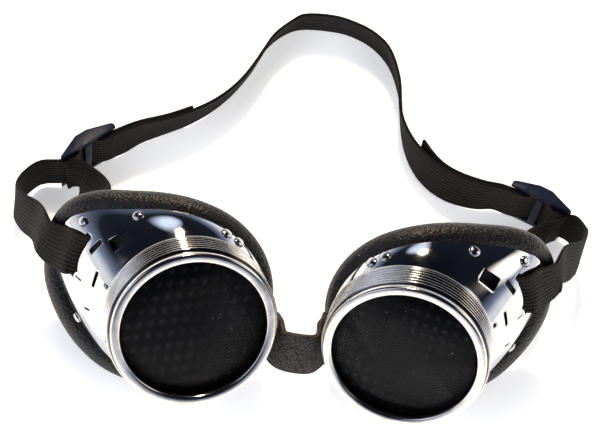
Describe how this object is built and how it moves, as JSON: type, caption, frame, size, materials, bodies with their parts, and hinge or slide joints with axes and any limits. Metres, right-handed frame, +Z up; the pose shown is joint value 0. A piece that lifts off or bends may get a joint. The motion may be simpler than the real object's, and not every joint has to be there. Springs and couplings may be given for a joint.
{
  "type": "welding goggles",
  "caption": "Eyecup welding goggles: sheet-metal cups with threaded round lens rings, riveted leatherette face pads, a leather nose strip and a webbing headband with sliders",
  "frame": {"origin": "centre of the footprint, on the table the goggles lie on", "axes": "+X is the wearer's left, +Y points back from the lenses to the back of the head, +Z is up as the goggles lie"},
  "size_m": [0.198, 0.1712, 0.0643],
  "materials": {
    "cup": "polished plated sheet",
    "neck": "turned",
    "ring": "polished satin",
    "clear_glass": "clear",
    "shade_glass": "very dark green",
    "gasket": "matt",
    "pad_leatherette": "grained semi-gloss",
    "pad_foam": "soft foam filling",
    "rivet": "polished",
    "baffle": "dull dark",
    "strip_leather": "smooth",
    "webbing": "ribbed elastic webbing",
    "slider": "glossy blue-black"
  },
  "bodies": {
    "left_cup": {"left_cup_shell": "cup", "left_neck": "neck", "left_face_pad": "pad_leatherette", "left_pad_core": "pad_foam", "left_pad_rivets": "rivet", "left_baffle": "baffle", "left_baffle_rivets": "rivet", "left_nose_rivet": "rivet", "left_rear_gasket": "gasket", "nose_strip": "strip_leather", "headband": "webbing"},
    "right_cup": {"right_cup_shell": "cup", "right_neck": "neck", "right_face_pad": "pad_leatherette", "right_pad_core": "pad_foam", "right_pad_rivets": "rivet", "right_baffle": "baffle", "right_baffle_rivets": "rivet", "right_nose_rivet": "rivet", "right_rear_gasket": "gasket"},
    "left_lens_pack": {"left_cover_lens": "clear_glass", "left_shade_lens": "shade_glass", "left_front_gasket": "gasket"},
    "right_lens_pack": {"right_cover_lens": "clear_glass", "right_shade_lens": "shade_glass", "right_front_gasket": "gasket"},
    "left_ring": {"left_lens_ring": "ring"},
    "right_ring": {"right_lens_ring": "ring"},
    "left_slider_body": {"left_slider": "slider"},
    "right_slider_body": {"right_slider": "slider"}
  },
  "joints": [
    {"name": "bridge_fold", "type": "hinge", "parent": "left_cup", "child": "right_cup", "pos_m": [0.0005, -0.063, 0.03], "axis": [0, 0.5524, 0.8336], "range_deg": [-25, 35], "stiffness_Nm_per_rad": 0.1, "deforming": ["nose_strip", "headband"]},
    {"name": "left_lens_travel", "type": "slide", "parent": "left_cup", "child": "left_lens_pack", "axis": [-0.1874, -0.8591, 0.4762], "range_m": [0, 0.0045]},
    {"name": "left_ring_turn", "type": "hinge", "parent": "left_lens_pack", "child": "left_ring", "pos_m": [0.0329, -0.0678, 0.04171], "axis": [-0.1874, -0.8591, 0.4762], "range_deg": [0, 1080]},
    {"name": "right_lens_travel", "type": "slide", "parent": "right_cup", "child": "right_lens_pack", "axis": [0.2284, -0.7566, 0.6127], "range_m": [0, 0.0045]},
    {"name": "right_ring_turn", "type": "hinge", "parent": "right_lens_pack", "child": "right_ring", "pos_m": [-0.0329, -0.069, 0.04408], "axis": [0.2284, -0.7566, 0.6127], "range_deg": [0, 1080]},
    {"name": "left_slider_travel", "type": "slide", "parent": "left_cup", "child": "left_slider_body", "axis": [-0.9298, 0.3681, 0], "range_m": [-0.006, 0.012], "deforming": ["headband"]},
    {"name": "right_slider_travel", "type": "slide", "parent": "right_cup", "child": "right_slider_body", "axis": [0.7108, 0.7034, 0], "range_m": [-0.006, 0.012], "deforming": ["headband"]}
  ],
  "couplings": [
    {"joint": "left_ring_turn", "follows": "left_lens_travel", "rad_per_m": 4188.8},
    {"joint": "right_ring_turn", "follows": "right_lens_travel", "rad_per_m": 4188.8}
  ]
}
